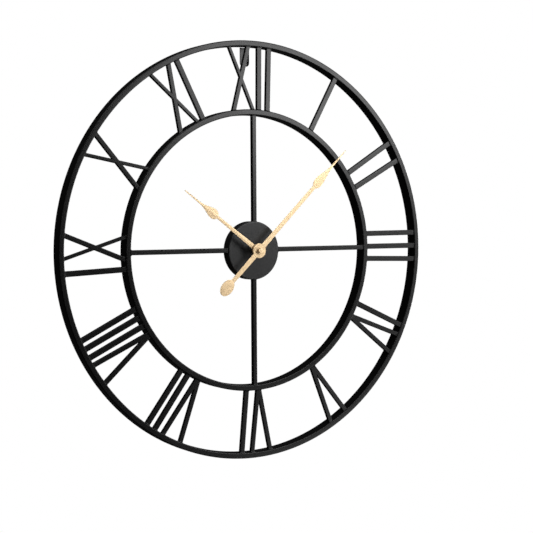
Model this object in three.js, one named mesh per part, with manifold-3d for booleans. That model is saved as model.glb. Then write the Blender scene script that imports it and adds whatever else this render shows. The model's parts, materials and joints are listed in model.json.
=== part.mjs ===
// Open-frame wall clock: two hoops of black rectangular tube, Roman numerals welded between them,
// a cup-shaped drum on four spokes, and a quartz movement with long gold hands.
//
// Frame: millimetres, +Z up, the dial faces -Y, the wall is the plane y = 0. The origin is the nail
// that the hanger tab hangs on. Everything is modelled about the dial's centre and moved by one group.
// Depths are distances in front of the wall, so a depth of 25 is the plane y = -25.

import * as THREE from 'three';
import { mergeVertices } from 'three/addons/utils/BufferGeometryUtils.js';
import Module from 'manifold-3d';

const wasm = await Module();
wasm.setup();

// ---------------------------------------------------------------------------------------------
// Driving dimensions
// ---------------------------------------------------------------------------------------------

const GAP = 0.3; // clearance between pieces that touch or are welded on the real clock

const tube = { width: 11, depth: 25, corner: 2 };
const outerHoop = { radius: 400, sides: 96 };
const innerHoop = { radius: 269.7, sides: 72 };
const outerHoopInside = outerHoop.radius - tube.width;
const innerHoopInside = innerHoop.radius - tube.width;

const spokeBar = { width: 9.2, depth: 8.5, corner: 1.2, front: tube.depth };
const spokeOffset = { 12: 3, 3: -1.5, 6: -2, 9: 1 }; // clockwise from the hour's own line, as welded
const numeralBar = { depth: 6.5, corner: 1.2, front: tube.depth - 1.5 };
const strokeWidth = { straight: 10.4, vee: 9, crossThin: 6.6, crossThick: 8.8 };

// Each numeral reads clockwise, its foot towards the centre. A stroke is a kind of letter with its
// place along the outer hoop and along the inner hoop, clockwise from the numeral's own hour line.
const crossReach = { outer: 21.3, inner: 20.6 }; // an X's strokes, each side of its middle
const veeReach = { outer: 20.5, inner: 1.5 }; // a V's strokes, each side of its middle
const numerals = [
  { hour: 12, name: 'xii', strokes: [['x', -29.5, -18.5], ['i', 16, 15], ['i', 38, 34.5]] },
  { hour: 1, name: 'i', strokes: [['i', -1.5, 0]] },
  { hour: 2, name: 'ii', strokes: [['i', -21.5, -18.5], ['i', 18.5, 15]] },
  { hour: 3, name: 'iii', strokes: [['i', -30, -29], ['i', -3, -3], ['i', 24.5, 21.5]] },
  { hour: 4, name: 'iv', strokes: [['i', -38, -26], ['v', 3, 4]] },
  { hour: 5, name: 'v', strokes: [['v', -2, -1]] },
  { hour: 6, name: 'vi', strokes: [['v', -16, -10.5], ['i', 27.5, 16.5]] },
  { hour: 7, name: 'vii', strokes: [['v', -18, -14], ['i', 22, 9], ['i', 41, 26.5]] },
  { hour: 8, name: 'viii', strokes: [['v', -26, -18.5], ['i', 10, 1.5], ['i', 28, 19.5], ['i', 45, 37]] },
  { hour: 9, name: 'ix', strokes: [['i', -34.5, -29], ['x', 13.5, 9]] },
  { hour: 10, name: 'x', strokes: [['x', 1.5, 1.5]] },
  { hour: 11, name: 'xi', strokes: [['x', -2.5, -2], ['i', 37.5, 31.5]] },
];

const drum = { radius: 56, depth: 20, front: 26, wall: 1.2, rim: 2, bore: 4.4, sides: 60 };

const hanger = { width: 20, bottom: 352.5, thickness: 2, back: 0.4, corner: 7, offset: -4, topGap: 0.8 };
const nail = { height: 371, slotRadius: 2.5, headRadius: 5, drop: 9.5 }; // height above the centre

// The movement, front to back: [nearest the wall, furthest from the wall]
const movement = { size: 56, corner: 4, wall: 1.2, back: 8.5, front: 23.2, face: 1.3 };
const cover = { back: 7, front: 8.2 };
const bay = {
  top: -11.3, bottom: -26.3, halfLength: 25.6, corner: 1, partition: 0.3, // half the partition's thickness
  notch: { width: 2.4, height: 4, corner: 0.3, depths: [9, 17] },
};
const battery = {
  radius: 7.1, bevel: 0.6, halfLength: 24.6, nubRadius: 2.6, nub: 0.7, height: -18.8, depth: 14.3,
};

const bushing = { radius: 4, bore: 2.8, flange: 6, depths: [20.9, 37], flangeFront: 21.6 };
const nut = { acrossFlats: 14, depths: [27.1, 29.4] };
const washer = { radius: 8.5, bore: 4.4, depths: [26.3, 26.8] };
const gasket = { radius: 12, bore: 4.4, depths: [23.5, 24.5] };

const hubRadius = 14;
const hourHand = {
  angle: 306, depths: [42, 43.5], collar: [38, 43.5], bore: 2.8, collarRadius: 4.6,
  length: 195, hubHalf: 4.6, neckHalf: 3, neck: 110, spadeHalf: 9.8, widest: 121, needle: 156,
};
const minuteHand = {
  angle: 46, depths: [45.2, 46.7], collar: [44, 46.7], bore: 1.8, collarRadius: 4,
  length: 280, hubHalf: 4.9, neckHalf: 4, neck: 176, spadeHalf: 9.4, widest: 189, needle: 240,
  tail: 84, tailHalf: 4.3, paddle: 98.5, paddleLength: 18, paddleHalf: 12.5,
};
const needleHalf = { root: 1.9, tip: 0.9 };
const capNut = { radius: 5.3, bore: 1.8, depths: [47, 51.5], shoulder: 48.6, boreEnd: 50 };
const hourTube = { radius: 2.5, bore: 1.9, front: 42.5 };
const minuteArbor = { radius: 1.5, back: 15.4, front: 49.5 };

// Wheels. A tooth stands 0.75 module above the pitch circle and reaches 1 module below it.
const toothForm = { above: 0.75, below: 1, tipShare: 0.11, rootShare: 0.21 };
const motionModule = 0.5;
const trainModule = 0.45;
const centreModule = 0.425;
const teeth = {
  rotor: 6, intermediateWheel: 30, intermediatePinion: 6, secondsWheel: 36, secondsPinion: 6,
  thirdWheel: 45, thirdPinion: 6, centreWheel: 48,
  cannon: 10, motionWheel: 30, motionPinion: 8, hourWheel: 32, knob: 8,
};

// Directions, in degrees anticlockwise from 3 o'clock, of each arbor from the one before it.
const direction = { motion: -15, knob: 0, third: 150, intermediate: 60, rotor: 20 };

// Where each wheel and pinion lies in depth. The motion work is in front of the going train.
const motionDepths = {
  cannon: [17.5, 19.3], wheel: [17.9, 18.9], pinion: [18.9, 20.8], arbor: [17.2, 21.5],
  hourWheel: [19.6, 20.6], knobGrip: [3.2, 6.6], knobPinion: [17.5, 19.3],
};
const trainDepths = {
  centreWheel: [15.8, 16.6], centreCollar: [15.8, 17.2],
  thirdWheel: [13.8, 14.6], thirdPinion: [15.3, 17.1],
  secondsWheel: [11.6, 12.4], secondsPinion: [13.3, 15.1],
  intermediateWheel: [9.6, 10.4], intermediatePinion: [11.1, 12.9], intermediateTop: 15.2,
  rotorPinion: [9.1, 10.9], rotorMagnet: [11.8, 14.4],
  lowerPlate: 8.8, upperPlate: 21.5,
};
const pivotRadius = 0.6;
const clutchRadius = 2.8; // the centre wheel's collar, which grips the minute arbor
const magnetRadius = 3.4;
const knob = { ribs: 12, valley: 6, ridge: 6.6, ridgeShare: 0.8, stem: 1.3, hole: 1.9 };

// The motor's coil lies across the top of the case, joined to the stator's two legs.
const coilSpec = {
  height: 21, depth: 14.2, winding: 3.6, cheek: 4.2, cheekWidth: 0.8, from: -2, to: 18,
  coreHalf: 0.6, coreDepth: 3,
};
const poles = {
  left: -8, right: 24, width: 4, bridge: [12.8, 16.2], top: 22.5, depths: [12.5, 13.3],
  shoe: [5, 5.2], air: 0.6, corner: 0.4,
};
const board = { left: -26, right: -10.5, bottom: 17.5, top: 26, corner: 0.8, depths: [12.4, 13.4] };
const chip = { radius: 1.8, fromEdge: 3, height: 21.5, depths: [13.4, 14.2] };
const crystalCan = { radius: 1.1, length: 6.2, place: [-21, 23], depth: 14.9 };

// A contact is a strip on edge: wide beside the battery, narrow where it runs up to the board.
const contact = {
  x: 26, thickness: 0.4, wide: [9.5, 19], narrow: [12.5, 15.5],
  bottom: -24.5, shoulder: -13, neck: -10, top: 15,
};

// ---------------------------------------------------------------------------------------------
// Materials
// ---------------------------------------------------------------------------------------------

function material(color, roughness, metalness) {
  return new THREE.MeshStandardMaterial({ color, roughness, metalness });
}

const blackCoat = material(0x2b2b2d, 0.45, 0.2);
const gold = material(0xe3cb98, 0.35, 0.9);
const brass = material(0xc9a75a, 0.3, 1);
const steel = material(0x9a9da0, 0.35, 1);
const blackPlastic = material(0x1c1c1e, 0.6, 0);
const whitePlastic = material(0xe9e6da, 0.5, 0);
const rubber = material(0x222222, 0.9, 0);
const copper = material(0xb5673a, 0.4, 0.9);
const boardGreen = material(0x2f6b45, 0.6, 0);
const batteryWrap = material(0x5a6068, 0.4, 0.3);
const magnet = material(0x4c4a48, 0.5, 0.4);

// ---------------------------------------------------------------------------------------------
// Solids: closed geometries are joined and cut with manifold-3d
// ---------------------------------------------------------------------------------------------

const MERGE_DISTANCE = 1e-4;

function bare(geometry) {
  const copy = geometry.clone();
  copy.deleteAttribute('normal');
  copy.deleteAttribute('uv');
  return mergeVertices(copy, MERGE_DISTANCE);
}

function toSolid(geometry) {
  const merged = bare(geometry);
  const corners = merged.index.array;
  const kept = [];
  for (let i = 0; i < corners.length; i += 3) {
    const [a, b, c] = [corners[i], corners[i + 1], corners[i + 2]];
    if (a !== b && b !== c && c !== a) kept.push(a, b, c);
  }
  return new wasm.Manifold(new wasm.Mesh({
    numProp: 3,
    vertProperties: new Float32Array(merged.attributes.position.array),
    triVerts: new Uint32Array(kept),
  }));
}

function toGeometry(solid) {
  const { numProp, vertProperties, triVerts } = solid.getMesh();
  const positions = new Float32Array((vertProperties.length / numProp) * 3);
  for (let i = 0; i < positions.length / 3; i += 1) {
    for (let axis = 0; axis < 3; axis += 1) positions[3 * i + axis] = vertProperties[numProp * i + axis];
  }
  const geometry = new THREE.BufferGeometry();
  geometry.setAttribute('position', new THREE.BufferAttribute(positions, 3));
  geometry.setIndex(new THREE.BufferAttribute(new Uint32Array(triVerts), 1));
  geometry.computeVertexNormals();
  return geometry;
}

function join(...geometries) {
  return toGeometry(geometries.map(toSolid).reduce((a, b) => a.add(b)));
}

function cut(body, ...tools) {
  return toGeometry(tools.map(toSolid).reduce((a, b) => a.subtract(b), toSolid(body)));
}

function common(body, other) {
  return toGeometry(toSolid(body).intersect(toSolid(other)));
}

// ---------------------------------------------------------------------------------------------
// Shapes
// ---------------------------------------------------------------------------------------------

const radians = (degrees) => THREE.MathUtils.degToRad(degrees);

function roundedRectangle(width, height, radius, x = 0, y = 0) {
  const [right, top] = [width / 2, height / 2];
  const shape = new THREE.Shape();
  shape.moveTo(x + right, y - top + radius);
  shape.absarc(x + right - radius, y + top - radius, radius, 0, Math.PI / 2);
  shape.absarc(x - right + radius, y + top - radius, radius, Math.PI / 2, Math.PI);
  shape.absarc(x - right + radius, y - top + radius, radius, Math.PI, 1.5 * Math.PI);
  shape.absarc(x + right - radius, y - top + radius, radius, 1.5 * Math.PI, 2 * Math.PI);
  return shape;
}

function circle(radius, x = 0, y = 0) {
  return new THREE.Shape().absarc(x, y, radius, 0, 2 * Math.PI);
}

// A flat plate parallel to the wall: the shape's x is the clock's x, and its y is the clock's z.
function plate(shape, [back, front], curveSegments = 8) {
  return new THREE.ExtrudeGeometry(shape, { depth: front - back, bevelEnabled: false, curveSegments })
    .rotateX(Math.PI / 2)
    .translate(0, -back, 0);
}

// A solid turned about the dial's axis. The profile is [radius, depth] pairs; a ring's profile
// closes on itself, and a solid one starts and ends on the axis.
function turned(profile, sides) {
  const points = profile.map(([radius, depth]) => new THREE.Vector2(radius, -depth));
  const onAxis = points[0].x === 0 && points.at(-1).x === 0;
  if (!onAxis) points.push(points[0].clone());
  if (THREE.ShapeUtils.area(points) > 0) points.reverse();
  return new THREE.LatheGeometry(points.reverse(), sides);
}

function cylinder(radius, [back, front], sides) {
  return turned([[0, back], [radius, back], [radius, front], [0, front]], sides);
}

function ring(radius, bore, [back, front], sides) {
  return turned([[bore, back], [radius, back], [radius, front], [bore, front]], sides);
}

// A bar of rounded section, standing along +Z with its front face at the bar's front depth.
function bar({ width, depth, corner, front }, from, to) {
  const section = roundedRectangle(width, depth, corner, 0, depth / 2 - front);
  return new THREE.ExtrudeGeometry(section, { depth: to - from, bevelEnabled: false, curveSegments: 1 })
    .translate(0, 0, from);
}

// ---------------------------------------------------------------------------------------------
// The welded frame
// ---------------------------------------------------------------------------------------------

function hoop({ radius, sides }) {
  const { width, depth, corner } = tube;
  const section = roundedRectangle(width, depth, corner, radius - width / 2, depth / 2);
  return turned(section.getPoints(1).slice(0, -1).map(({ x, y }) => [x, y]), sides);
}

// What lies between the two hoops, less the weld gap at each: every numeral stroke ends on it.
const betweenHoops = cut(
  cylinder(outerHoopInside - GAP, [0, tube.depth], outerHoop.sides),
  cylinder(innerHoop.radius + GAP, [-1, tube.depth + 1], innerHoop.sides),
);

function stroke(outerPlace, innerPlace, width) {
  const overrun = 12;
  const rise = outerHoopInside - innerHoop.radius;
  const lean = Math.atan2(outerPlace - innerPlace, rise);
  return bar({ ...numeralBar, width }, -overrun, rise / Math.cos(lean) + overrun)
    .rotateY(lean)
    .translate(innerPlace, 0, innerHoop.radius);
}

// How far each stroke of a letter stands from the letter's middle, at the outer and the inner hoop,
// and the stroke's width.
const letterStrokes = {
  i: [[0, 0, strokeWidth.straight]],
  v: [
    [-veeReach.outer, -veeReach.inner, strokeWidth.vee],
    [veeReach.outer, veeReach.inner, strokeWidth.vee],
  ],
  x: [
    [-crossReach.outer, crossReach.inner, strokeWidth.crossThin],
    [crossReach.outer, -crossReach.inner, strokeWidth.crossThick],
  ],
};

function letter(kind, outer, inner) {
  const strokes = letterStrokes[kind].map(
    ([above, below, width]) => stroke(outer + above, inner + below, width),
  );
  return common(join(...strokes), betweenHoops);
}

function hangerTab() {
  const top = outerHoopInside - hanger.topGap;
  const right = hanger.offset + hanger.width / 2;
  const left = hanger.offset - hanger.width / 2;
  const arcHeight = hanger.bottom + hanger.corner;
  const shape = new THREE.Shape();
  shape.moveTo(right, top);
  shape.lineTo(left, top);
  shape.lineTo(left, arcHeight);
  shape.absarc(left + hanger.corner, arcHeight, hanger.corner, Math.PI, 1.5 * Math.PI);
  shape.absarc(right - hanger.corner, arcHeight, hanger.corner, 1.5 * Math.PI, 2 * Math.PI);
  const depths = [hanger.back, hanger.back + hanger.thickness];
  const through = [depths[0] - 1, depths[1] + 1];
  const headCentre = nail.height - nail.drop;
  const slot = roundedRectangle(
    2 * nail.slotRadius, nail.drop + 2 * nail.slotRadius, nail.slotRadius - 0.01,
    hanger.offset, headCentre + nail.drop / 2,
  );
  const head = circle(nail.headRadius, hanger.offset, headCentre);
  const keyhole = join(plate(slot, through, 3), plate(head, through));
  return cut(plate(shape, depths, 3), keyhole);
}

function drumShell() {
  const { radius, depth, front, wall, rim, bore, sides } = drum;
  const rimArc = new THREE.EllipseCurve(radius - rim, front - rim, rim, rim, Math.PI / 2, 0, true);
  return turned([
    [bore, front - wall], [bore, front],
    ...rimArc.getPoints(3).map(({ x, y }) => [x, y]),
    [radius, front - depth], [radius - wall, front - depth], [radius - wall, front - wall],
  ], sides);
}

// ---------------------------------------------------------------------------------------------
// The hands
// ---------------------------------------------------------------------------------------------

// The blade of a hand along +y: a tapering shaft, a spade, then a long needle.
function bladeShape({ hubHalf, neckHalf, neck, spadeHalf, widest, needle, length }) {
  const taper = needle - widest;
  const waist = { from: widest + 0.28 * taper, to: needle - 0.42 * taper }; // the curve's handles
  const shape = new THREE.Shape();
  shape.moveTo(-hubHalf, 0);
  shape.lineTo(hubHalf, 0);
  shape.lineTo(neckHalf, neck);
  shape.bezierCurveTo(neckHalf + 3, neck, spadeHalf, widest - 6, spadeHalf, widest);
  shape.bezierCurveTo(spadeHalf, waist.from, needleHalf.root, waist.to, needleHalf.root, needle);
  shape.lineTo(needleHalf.tip, length - 1);
  shape.lineTo(0, length);
  shape.lineTo(-needleHalf.tip, length - 1);
  shape.lineTo(-needleHalf.root, needle);
  shape.bezierCurveTo(-needleHalf.root, waist.to, -spadeHalf, waist.from, -spadeHalf, widest);
  shape.bezierCurveTo(-spadeHalf, widest - 6, -neckHalf - 3, neck, -neckHalf, neck);
  return shape;
}

function tailShape({ hubHalf, tail, tailHalf }) {
  const shape = new THREE.Shape();
  shape.moveTo(hubHalf, 0);
  shape.lineTo(-hubHalf, 0);
  shape.lineTo(-tailHalf, -tail);
  shape.lineTo(tailHalf, -tail);
  return shape;
}

function hand(spec) {
  const pieces = [
    plate(bladeShape(spec), spec.depths, 8),
    cylinder(hubRadius, spec.depths, 36),
    cylinder(spec.collarRadius, spec.collar, 20),
  ];
  if (spec.tail) {
    const paddle = new THREE.Shape();
    paddle.absellipse(0, -spec.paddle, spec.paddleHalf, spec.paddleLength, 0, 2 * Math.PI);
    pieces.push(plate(tailShape(spec), spec.depths), plate(paddle, spec.depths, 14));
  }
  const through = [spec.collar[0] - 1, spec.collar[1] + 1];
  return cut(join(...pieces), cylinder(spec.bore, through, 20));
}

function capNutBody() {
  const { radius, bore, depths: [back, front], shoulder, boreEnd } = capNut;
  const dome = new THREE.EllipseCurve(0, shoulder, radius, front - shoulder, 0, Math.PI / 2);
  return turned([
    [0, boreEnd], [bore, boreEnd], [bore, back], [radius, back],
    ...dome.getPoints(4).slice(0, -1).map(({ x, y }) => [x, y]),
    [0, front],
  ], 24);
}

// ---------------------------------------------------------------------------------------------
// Wheels and pinions
// ---------------------------------------------------------------------------------------------

const polar = (distance, degrees) => new THREE.Vector2(Math.cos(radians(degrees)), Math.sin(radians(degrees)))
  .multiplyScalar(distance);
const spacing = (a, b, module) => ((a + b) / 2) * module;

const centre = new THREE.Vector2();
const motionArbor = polar(spacing(teeth.cannon, teeth.motionWheel, motionModule), direction.motion);
const knobArbor = motionArbor.clone()
  .add(polar(spacing(teeth.motionWheel, teeth.knob, motionModule), direction.knob));
const thirdArbor = polar(spacing(teeth.secondsPinion, teeth.thirdWheel, trainModule), direction.third);
const intermediateArbor = polar(
  spacing(teeth.intermediatePinion, teeth.secondsWheel, trainModule), direction.intermediate,
);
const rotorArbor = intermediateArbor.clone()
  .add(polar(spacing(teeth.rotor, teeth.intermediateWheel, trainModule), direction.rotor));

// The angle of one tooth of a wheel that meshes with another wheel, given the other's tooth angle.
function meshing(otherCentre, otherTeeth, otherAngle, ownCentre, ownTeeth) {
  const line = Math.atan2(ownCentre.y - otherCentre.y, ownCentre.x - otherCentre.x);
  const share = ((line - otherAngle) * otherTeeth) / (2 * Math.PI);
  return line + Math.PI - ((0.5 - share) * 2 * Math.PI) / ownTeeth;
}

function toothedShape(count, module, angle, at) {
  const pitch = (2 * Math.PI) / count;
  const tip = module * (count / 2 + toothForm.above);
  const root = module * (count / 2 - toothForm.below);
  const points = [];
  for (let i = 0; i < count; i += 1) {
    const middle = angle + i * pitch;
    const flank = [
      [root, -toothForm.rootShare], [tip, -toothForm.tipShare],
      [tip, toothForm.tipShare], [root, toothForm.rootShare],
    ];
    for (const [radius, share] of flank) {
      const turn = middle + share * pitch;
      points.push(new THREE.Vector2(at.x + radius * Math.cos(turn), at.y + radius * Math.sin(turn)));
    }
  }
  return new THREE.Shape(points);
}

function toothed(count, module, angle, at, depths) {
  return plate(toothedShape(count, module, angle, at), depths);
}

function rod(radius, at, depths, curveSegments = 4) {
  return plate(circle(radius, at.x, at.y), depths, curveSegments);
}

// Each wheel's tooth angle. The ones given as 0 drive the pairing; the others are turned into mesh.
const arbors = {
  cannon: centre, motionWheel: motionArbor, motionPinion: motionArbor, hourWheel: centre, knob: knobArbor,
  secondsPinion: centre, thirdWheel: thirdArbor, thirdPinion: thirdArbor, centreWheel: centre,
  secondsWheel: centre, intermediatePinion: intermediateArbor, intermediateWheel: intermediateArbor,
  rotor: rotorArbor,
};
const toothAngle = {
  cannon: 0, motionPinion: 0, secondsPinion: 0, thirdPinion: 0, secondsWheel: 0, intermediateWheel: 0,
};
for (const [driver, driven] of [
  ['cannon', 'motionWheel'], ['motionPinion', 'hourWheel'], ['motionWheel', 'knob'],
  ['secondsPinion', 'thirdWheel'], ['thirdPinion', 'centreWheel'],
  ['secondsWheel', 'intermediatePinion'], ['intermediateWheel', 'rotor'],
]) {
  toothAngle[driven] = meshing(
    arbors[driver], teeth[driver], toothAngle[driver], arbors[driven], teeth[driven],
  );
}

// ---------------------------------------------------------------------------------------------
// Motion work: it turns with the hands
// ---------------------------------------------------------------------------------------------

function hourWheel() {
  const [back] = motionDepths.hourWheel;
  const wheel = join(
    toothed(teeth.hourWheel, motionModule, toothAngle.hourWheel, centre, motionDepths.hourWheel),
    cylinder(hourTube.radius, [back, hourTube.front], 20),
  );
  return cut(wheel, cylinder(hourTube.bore, [back - 1, hourTube.front + 1], 20));
}

function minuteArborWithPinion() {
  return join(
    cylinder(minuteArbor.radius, [minuteArbor.back, minuteArbor.front], 16),
    toothed(teeth.cannon, motionModule, toothAngle.cannon, centre, motionDepths.cannon),
  );
}

function motionWheel() {
  return join(
    toothed(teeth.motionWheel, motionModule, toothAngle.motionWheel, motionArbor, motionDepths.wheel),
    toothed(teeth.motionPinion, motionModule, toothAngle.motionPinion, motionArbor, motionDepths.pinion),
    rod(pivotRadius, motionArbor, motionDepths.arbor),
  );
}

function knobGrip() {
  const points = [];
  for (let i = 0; i < 2 * knob.ribs; i += 1) {
    const radius = i % 2 ? knob.valley : knob.ridge;
    for (const edge of [0, knob.ridgeShare]) {
      points.push(polar(radius, (180 * (i - 0.5 + edge)) / knob.ribs).add(knobArbor));
    }
  }
  return plate(new THREE.Shape(points), motionDepths.knobGrip);
}

function settingKnob() {
  const stem = [motionDepths.knobGrip[1], motionDepths.knobPinion[0]];
  return join(
    knobGrip(),
    rod(knob.stem, knobArbor, stem),
    toothed(teeth.knob, motionModule, toothAngle.knob, knobArbor, motionDepths.knobPinion),
  );
}

// ---------------------------------------------------------------------------------------------
// Going train: it turns with the motor
// ---------------------------------------------------------------------------------------------

function centreWheel() {
  const { centreWheel: disc, centreCollar: collar } = trainDepths;
  const wheel = join(
    toothed(teeth.centreWheel, centreModule, toothAngle.centreWheel, centre, disc),
    cylinder(clutchRadius, collar, 16),
  );
  return cut(wheel, cylinder(minuteArbor.radius + GAP, [collar[0] - 1, collar[1] + 1], 16));
}

function thirdWheel() {
  const { thirdWheel: disc, thirdPinion: pinion, lowerPlate, upperPlate } = trainDepths;
  return join(
    toothed(teeth.thirdWheel, trainModule, toothAngle.thirdWheel, thirdArbor, disc),
    toothed(teeth.thirdPinion, centreModule, toothAngle.thirdPinion, thirdArbor, pinion),
    rod(pivotRadius, thirdArbor, [lowerPlate, upperPlate]),
  );
}

function secondsWheel() {
  const { secondsWheel: disc, secondsPinion: pinion, lowerPlate } = trainDepths;
  return join(
    toothed(teeth.secondsWheel, trainModule, toothAngle.secondsWheel, centre, disc),
    toothed(teeth.secondsPinion, trainModule, toothAngle.secondsPinion, centre, pinion),
    rod(pivotRadius, centre, [lowerPlate, pinion[1]]),
  );
}

function intermediateWheel() {
  const { intermediateWheel: disc, intermediatePinion: pinion, lowerPlate, intermediateTop } = trainDepths;
  return join(
    toothed(teeth.intermediateWheel, trainModule, toothAngle.intermediateWheel, intermediateArbor, disc),
    toothed(teeth.intermediatePinion, trainModule, toothAngle.intermediatePinion, intermediateArbor, pinion),
    rod(pivotRadius, intermediateArbor, [lowerPlate, intermediateTop]),
  );
}

function rotor() {
  const { rotorPinion, rotorMagnet, lowerPlate, upperPlate } = trainDepths;
  return join(
    toothed(teeth.rotor, trainModule, toothAngle.rotor, rotorArbor, rotorPinion),
    rod(magnetRadius, rotorArbor, rotorMagnet, 10),
    rod(pivotRadius, rotorArbor, [lowerPlate, upperPlate]),
  );
}

// ---------------------------------------------------------------------------------------------
// Motor and electrics
// ---------------------------------------------------------------------------------------------

// The laminated stator: a bridge with the rotor's hole, and a leg under each end of the coil's core.
function stator() {
  const { left, right, width, bridge, top, depths, shoe, air, corner } = poles;
  const blocks = [
    [left, right, bridge[0], bridge[1]],
    [left, left + width, bridge[0], top],
    [right - width, right, bridge[0], top],
    [rotorArbor.x - shoe[0], rotorArbor.x + shoe[0], rotorArbor.y - shoe[1], bridge[1]],
  ].map(([x0, x1, z0, z1]) => plate(
    roundedRectangle(x1 - x0, z1 - z0, corner, (x0 + x1) / 2, (z0 + z1) / 2), depths, 1,
  ));
  return cut(join(...blocks), rod(magnetRadius + air, rotorArbor, [depths[0] - 1, depths[1] + 1], 10));
}

function coil() {
  const { height, depth, winding, cheek, cheekWidth, from, to, coreHalf, coreDepth } = coilSpec;
  const across = (radius, x0, x1) => new THREE.CylinderGeometry(radius, radius, x1 - x0, 20)
    .rotateZ(Math.PI / 2)
    .translate((x0 + x1) / 2, -depth, height);
  const core = new THREE.BoxGeometry(poles.right - poles.left, 2 * coreHalf, coreDepth)
    .translate((poles.right + poles.left) / 2, -depth, height);
  return join(
    core,
    across(winding, from, to),
    across(cheek, from - cheekWidth, from),
    across(cheek, to, to + cheekWidth),
  );
}

function circuitBoard() {
  const { left, right, bottom, top, corner, depths } = board;
  const blank = roundedRectangle(right - left, top - bottom, corner, (left + right) / 2, (bottom + top) / 2);
  const chipPlace = new THREE.Vector2(right - chip.fromEdge, chip.height);
  return join(plate(blank, depths, 2), rod(chip.radius, chipPlace, chip.depths, 8));
}

function crystal() {
  const { radius, length, place: [x, z], depth } = crystalCan;
  return new THREE.CylinderGeometry(radius, radius, length, 14).rotateZ(Math.PI / 2).translate(x, -depth, z);
}

function batteryCell() {
  const { radius, bevel, halfLength, nubRadius, nub, height, depth } = battery;
  const profile = [
    [0, -halfLength], [radius - bevel, -halfLength], [radius, -halfLength + bevel],
    [radius, halfLength - bevel], [radius - bevel, halfLength], [nubRadius, halfLength],
    [nubRadius, halfLength + nub], [0, halfLength + nub],
  ].map(([r, along]) => new THREE.Vector2(r, along));
  return new THREE.LatheGeometry(profile, 28).rotateZ(-Math.PI / 2).translate(0, -depth, height);
}

// A strip of spring steel that stands in the end of the battery bay and runs up to the board.
function contactStrip(x) {
  const { thickness, wide, narrow, bottom, shoulder, neck, top } = contact;
  const outline = [
    [wide[0], bottom], [wide[1], bottom], [wide[1], shoulder], [narrow[1], neck],
    [narrow[1], top], [narrow[0], top], [narrow[0], neck], [wide[0], shoulder],
  ];
  const shape = new THREE.Shape(outline.map(([depth, z]) => new THREE.Vector2(-depth, z)));
  const across = new THREE.Matrix4().makeBasis(
    new THREE.Vector3(0, 1, 0), new THREE.Vector3(0, 0, 1), new THREE.Vector3(1, 0, 0),
  );
  return new THREE.ExtrudeGeometry(shape, { depth: thickness, bevelEnabled: false })
    .applyMatrix4(across)
    .translate(x - thickness / 2, 0, 0);
}

// ---------------------------------------------------------------------------------------------
// Movement case
// ---------------------------------------------------------------------------------------------

function movementCase() {
  const { size, corner, wall, back, front, face } = movement;
  const inside = [back - 1, front - face];
  const cavity = size - 2 * wall;
  const upperHeight = cavity / 2 - bay.top - 2 * bay.partition;
  const upper = roundedRectangle(cavity, upperHeight, bay.corner, 0, cavity / 2 - upperHeight / 2);
  const lowerHeight = cavity / 2 + bay.top;
  const lower = roundedRectangle(cavity, lowerHeight, bay.corner, 0, bay.top - lowerHeight / 2);
  // The partition is notched at each end for the contact strips.
  const { width: notchWidth, height: notchHeight, corner: notchCorner, depths: notchDepths } = bay.notch;
  const notch = (side) => plate(roundedRectangle(
    notchWidth, notchHeight, notchCorner, side * contact.x, bay.top + bay.partition,
  ), notchDepths, 1);
  return cut(
    plate(roundedRectangle(size, size, corner), [back, front], 3),
    plate(upper, inside, 2),
    plate(lower, inside, 2),
    notch(-1), notch(1),
    cylinder(bushing.radius + GAP, [front - face - 1, front + 1], 20),
  );
}

function rearCover() {
  const opening = roundedRectangle(
    2 * bay.halfLength, bay.top - bay.bottom, bay.corner, 0, (bay.top + bay.bottom) / 2,
  );
  const through = [cover.back - 1, cover.front + 1];
  return cut(
    plate(roundedRectangle(movement.size, movement.size, movement.corner), [cover.back, cover.front], 3),
    plate(opening, through, 2),
    rod(knob.hole, knobArbor, through, 6),
  );
}

function threadedBushing() {
  const { radius, bore, flange, depths: [back, front], flangeFront } = bushing;
  return turned([
    [bore, back], [flange, back], [flange, flangeFront],
    [radius, flangeFront], [radius, front], [bore, front],
  ], 24);
}

function bushingNut() {
  const corner = nut.acrossFlats / Math.sqrt(3);
  const hexagon = new THREE.Shape([0, 60, 120, 180, 240, 300].map((degrees) => polar(corner, degrees)));
  const through = [nut.depths[0] - 1, nut.depths[1] + 1];
  return cut(plate(hexagon, nut.depths), cylinder(bushing.radius + GAP, through, 24));
}

// ---------------------------------------------------------------------------------------------
// Assembly
// ---------------------------------------------------------------------------------------------

const clock = new THREE.Group();

function add(name, geometry, finish, clockwise = 0) {
  const mesh = new THREE.Mesh(geometry, finish);
  mesh.name = name;
  mesh.rotation.y = radians(clockwise);
  clock.add(mesh);
}

add('outer_hoop', hoop(outerHoop), blackCoat);
add('inner_hoop', hoop(innerHoop), blackCoat);

for (const hour of [12, 3, 6, 9]) {
  const spoke = bar(spokeBar, drum.radius + GAP, innerHoopInside - 2 * GAP)
    .translate(spokeOffset[hour], 0, 0);
  add(`spoke_${hour}`, spoke, blackCoat, hour * 30);
}

for (const { hour, name, strokes } of numerals) {
  strokes.forEach(([kind, outer, inner], i) => {
    const nodeName = strokes.length > 1 ? `numeral_${name}_${i + 1}_${kind}` : `numeral_${name}`;
    add(nodeName, letter(kind, outer, inner), blackCoat, hour * 30);
  });
}

add('hanger_tab', hangerTab(), blackCoat);
add('drum', drumShell(), blackCoat);

add('movement_case', movementCase(), blackPlastic);
add('rear_cover', rearCover(), blackPlastic);
add('threaded_bushing', threadedBushing(), brass);
add('rubber_gasket', ring(gasket.radius, gasket.bore, gasket.depths, 24), rubber);
add('washer', ring(washer.radius, washer.bore, washer.depths, 24), steel);
add('bushing_nut', bushingNut(), blackCoat);

add('hour_hand', hand(hourHand), gold, hourHand.angle);
add('minute_hand', hand(minuteHand), gold, minuteHand.angle);
add('cap_nut', capNutBody(), gold);

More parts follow.
